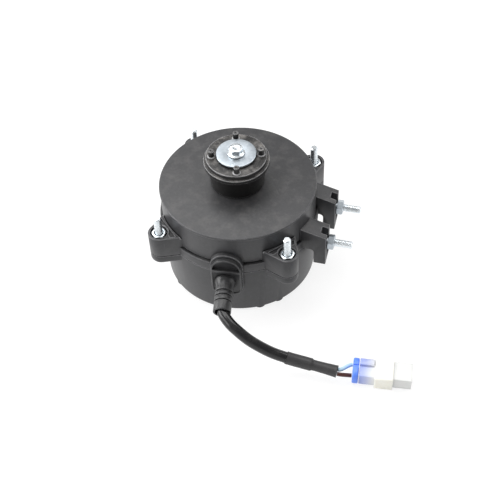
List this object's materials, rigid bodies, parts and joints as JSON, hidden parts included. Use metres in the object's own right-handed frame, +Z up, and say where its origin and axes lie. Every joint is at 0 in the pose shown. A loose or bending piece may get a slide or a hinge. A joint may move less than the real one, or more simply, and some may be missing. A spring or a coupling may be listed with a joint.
{
  "type": "fan motor",
  "caption": "Closed round plastic fan motor with corner bolts, side bracket screws, a turning blade hub and a short cable with a plug.",
  "frame": {"origin": "on the shaft axis at the bottom face of the rear housing", "axes": "+Z up along the shaft towards the blade hub, +X along the two bracket screws, the cable leaves towards -Y"},
  "size_m": [0.147, 0.1166, 0.081],
  "materials": {
    "housing_plastic": "moulded glass-filled plastic, satin",
    "hub_plastic": "moulded plastic, semi-gloss",
    "black_rubber": "moulded rubber, satin",
    "bright_zinc": "bright zinc plating",
    "bearing_steel": "ground steel",
    "lamination_steel": "stacked steel sheets, dull",
    "enamelled_copper": "wound enamelled wire",
    "magnet_ferrite": "pressed ferrite, dull",
    "insulator_nylon": "moulded nylon",
    "circuit_board_green": "solder mask, semi-gloss",
    "component_case": "moulded component case",
    "capacitor_sleeve": "shrunk plastic film",
    "cable_jacket": "smooth round sheath, glossy",
    "shrink_sleeve": "shrunk tube, matt",
    "brown_wire_skin": "extruded insulation",
    "blue_wire_skin": "extruded insulation",
    "blue_nylon": "moulded nylon",
    "clear_nylon": "translucent moulded nylon",
    "ivory_nylon": "moulded nylon",
    "tinned_brass": "tinned sheet"
  },
  "bodies": {
    "housing": {"bearing_spring_washer": "bearing_steel", "board_screw_1": "bright_zinc", "board_screw_2": "bright_zinc", "board_screw_3": "bright_zinc", "bracket_bolt_back": "bright_zinc", "bracket_bolt_front": "bright_zinc", "bracket_nut_back": "bright_zinc", "bracket_nut_front": "bright_zinc", "cable_grommet": "black_rubber", "capacitor_1": "capacitor_sleeve", "capacitor_2": "capacitor_sleeve", "choke": "component_case", "circuit_board": "circuit_board_green", "front_bearing_ball_ring": "bearing_steel", "front_bearing_outer_ring": "bearing_steel", "front_housing": "housing_plastic", "housing_gasket": "black_rubber", "inner_live_lead": "brown_wire_skin", "inner_neutral_lead": "blue_wire_skin", "live_wire": "brown_wire_skin", "neutral_wire": "blue_wire_skin", "plug_contact_1": "tinned_brass", "plug_contact_2": "tinned_brass", "plug_housing": "clear_nylon", "plug_retainer": "blue_nylon", "plug_shroud": "ivory_nylon", "power_module": "component_case", "rear_bearing_ball_ring": "bearing_steel", "rear_bearing_outer_ring": "bearing_steel", "rear_housing": "housing_plastic", "shaft_seal": "black_rubber", "shrink_sleeve": "shrink_sleeve", "stator_coil_1": "enamelled_copper", "stator_coil_2": "enamelled_copper", "stator_coil_3": "enamelled_copper", "stator_coil_4": "enamelled_copper", "stator_coil_5": "enamelled_copper", "stator_coil_6": "enamelled_copper", "stator_core": "lamination_steel", "stator_insulator_lower": "insulator_nylon", "stator_insulator_upper": "insulator_nylon", "supply_cable": "cable_jacket", "terminal_block": "blue_nylon", "through_bolt_back_left": "bright_zinc", "through_bolt_back_right": "bright_zinc", "through_bolt_front_left": "bright_zinc", "through_bolt_front_right": "bright_zinc", "through_nut_back_left": "bright_zinc", "through_nut_back_right": "bright_zinc", "through_nut_front_left": "bright_zinc", "through_nut_front_right": "bright_zinc"},
    "rotor": {"blade_hub": "hub_plastic", "blade_screw": "bright_zinc", "blade_washer": "bright_zinc", "front_bearing_inner_ring": "bearing_steel", "rear_bearing_inner_ring": "bearing_steel", "rotor_core": "lamination_steel", "rotor_magnet_ring": "magnet_ferrite", "shaft": "bearing_steel", "shaft_circlip": "bearing_steel"}
  },
  "joints": [
    {"name": "rotor_spin", "type": "hinge", "parent": "housing", "child": "rotor", "pos_m": [0, 0, 0], "axis": [0, 0, 1], "continuous": true}
  ]
}
